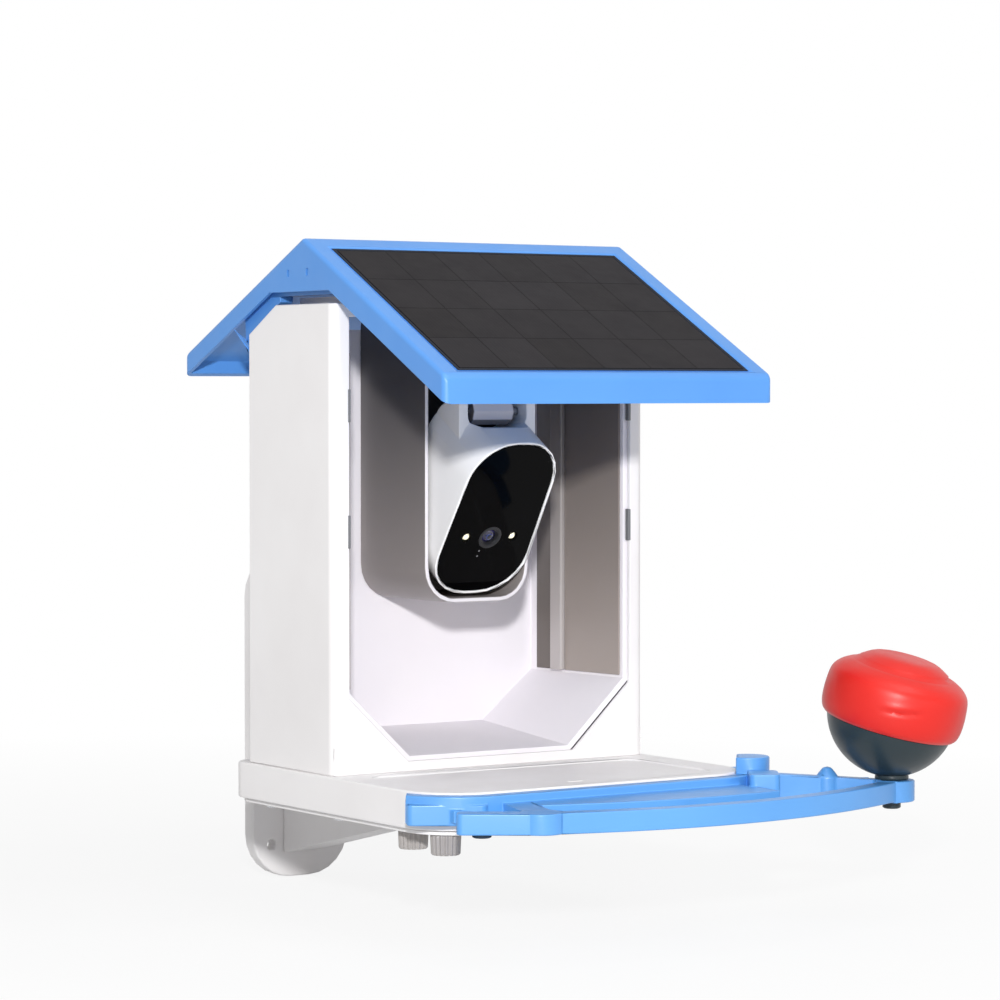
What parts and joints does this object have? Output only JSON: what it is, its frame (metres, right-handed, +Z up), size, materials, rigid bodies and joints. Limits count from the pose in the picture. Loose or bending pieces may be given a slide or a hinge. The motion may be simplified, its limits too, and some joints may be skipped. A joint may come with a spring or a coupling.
{
  "type": "smart bird feeder",
  "caption": "Gable-roofed bird feeder with a tilting camera, solar roof that hinges open, tray with a curved perch, lidded treat cup and a wall bracket.",
  "frame": {"origin": "middle of the bracket plate's flat back face, where it lies on the wall", "axes": "+Z up, +Y back into the wall, square to the plate's back face, +X to the right as seen from the front"},
  "size_m": [0.2901, 0.36, 0.3367],
  "materials": {
    "white_plastic": "moulded white plastic with a soft sheen",
    "bay_plastic": "moulded pale lilac-grey plastic",
    "pocket_smoke": "moulded smoke-grey plastic, satin",
    "smoked_plastic": "smooth smoked grey-brown plastic",
    "roof_blue": "moulded sky-blue plastic, fine satin",
    "solar_cells": "charcoal cells under a clear coat",
    "solar_seal": "dull black seal",
    "black_glass": "polished black glass",
    "black_plastic": "matt black plastic",
    "lens_glass": "coated lens, dark blue sheen",
    "lamp_clear": "clear pale lamp",
    "board_green": "green circuit board",
    "battery_wrap": "blue wrapped cell",
    "grey_rubber": "dull grey rubber",
    "screw_steel": "plain bright steel",
    "perch_blue": "moulded light blue plastic, fine satin",
    "plug_dark": "dark rubber plug",
    "knob_grey": "moulded warm grey plastic",
    "cup_dark": "dark blue-green-grey plastic",
    "lid_red": "moulded red plastic, satin"
  },
  "bodies": {
    "feeder": {"house_shell": "white_plastic", "back_panel": "white_plastic", "tray": "white_plastic", "base_plate": "white_plastic", "bracket_plate": "white_plastic", "bracket_arm": "white_plastic", "feeding_bay": "bay_plastic", "camera_pocket": "pocket_smoke", "side_post_left": "pocket_smoke", "side_post_right": "pocket_smoke", "side_panel_left_front": "smoked_plastic", "side_panel_left_rear": "smoked_plastic", "side_panel_right_front": "smoked_plastic", "side_panel_right_rear": "smoked_plastic", "hinge_pin_left": "screw_steel", "hinge_pin_right": "screw_steel", "back_screw_1": "screw_steel", "back_screw_2": "screw_steel", "back_screw_3": "screw_steel", "back_screw_4": "screw_steel", "pocket_screw_1": "screw_steel", "pocket_screw_2": "screw_steel", "base_screw_1": "screw_steel", "base_screw_2": "screw_steel", "base_screw_3": "screw_steel", "base_screw_4": "screw_steel", "arm_screw_1": "screw_steel", "arm_screw_2": "screw_steel", "plate_screw_1": "screw_steel", "plate_screw_2": "screw_steel", "perch_frame": "perch_blue", "perch_plug": "plug_dark"},
    "roof": {"roof_shell": "roof_blue", "solar_panel": "solar_cells", "solar_seal": "solar_seal", "junction_box": "solar_seal"},
    "camera": {"camera_housing": "white_plastic", "camera_glass": "black_glass", "camera_gasket": "grey_rubber", "lens_barrel": "black_plastic", "camera_lens": "lens_glass", "camera_led_left": "lamp_clear", "camera_led_right": "lamp_clear", "circuit_board": "board_green", "camera_rear_cover": "white_plastic", "battery": "battery_wrap", "charge_port": "screw_steel", "tilt_pin": "screw_steel"},
    "button": {"power_button": "grey_rubber"},
    "knob_rear": {"thumbscrew_1": "knob_grey"},
    "knob_front": {"thumbscrew_2": "knob_grey"},
    "cup": {"cup_bowl": "cup_dark"},
    "lid": {"cup_lid": "lid_red"},
    "nut": {"cup_nut": "cup_dark"}
  },
  "joints": [
    {"name": "roof_hinge", "type": "hinge", "parent": "feeder", "child": "roof", "pos_m": [0, -0.1105, 0.197], "axis": [-1, 0, 0], "range_deg": [0, 65]},
    {"name": "camera_tilt", "type": "hinge", "parent": "feeder", "child": "camera", "pos_m": [0, -0.189, 0.164], "axis": [1, 0, 0], "range_deg": [-10, 12]},
    {"name": "power_button_press", "type": "slide", "parent": "camera", "child": "button", "axis": [0, 0, 1], "range_m": [0, 0.0008], "stiffness_N_per_m": 1200},
    {"name": "knob_rear_turn", "type": "hinge", "parent": "feeder", "child": "knob_rear", "pos_m": [-0.0793, -0.245, -0.042], "axis": [0, 0, 1], "continuous": true},
    {"name": "knob_front_turn", "type": "hinge", "parent": "feeder", "child": "knob_front", "pos_m": [-0.0793, -0.273, -0.042], "axis": [0, 0, 1], "continuous": true},
    {"name": "cup_swivel", "type": "hinge", "parent": "feeder", "child": "cup", "pos_m": [0.1503, -0.3224, -0.0166], "axis": [0, 0, 1], "continuous": true},
    {"name": "lid_lift", "type": "slide", "parent": "cup", "child": "lid", "axis": [0.1416, -0.2206, 0.965], "range_m": [0, 0.03]},
    {"name": "cup_nut_turn", "type": "hinge", "parent": "cup", "child": "nut", "pos_m": [0.1503, -0.3224, -0.028], "axis": [0, 0, 1], "continuous": true}
  ]
}
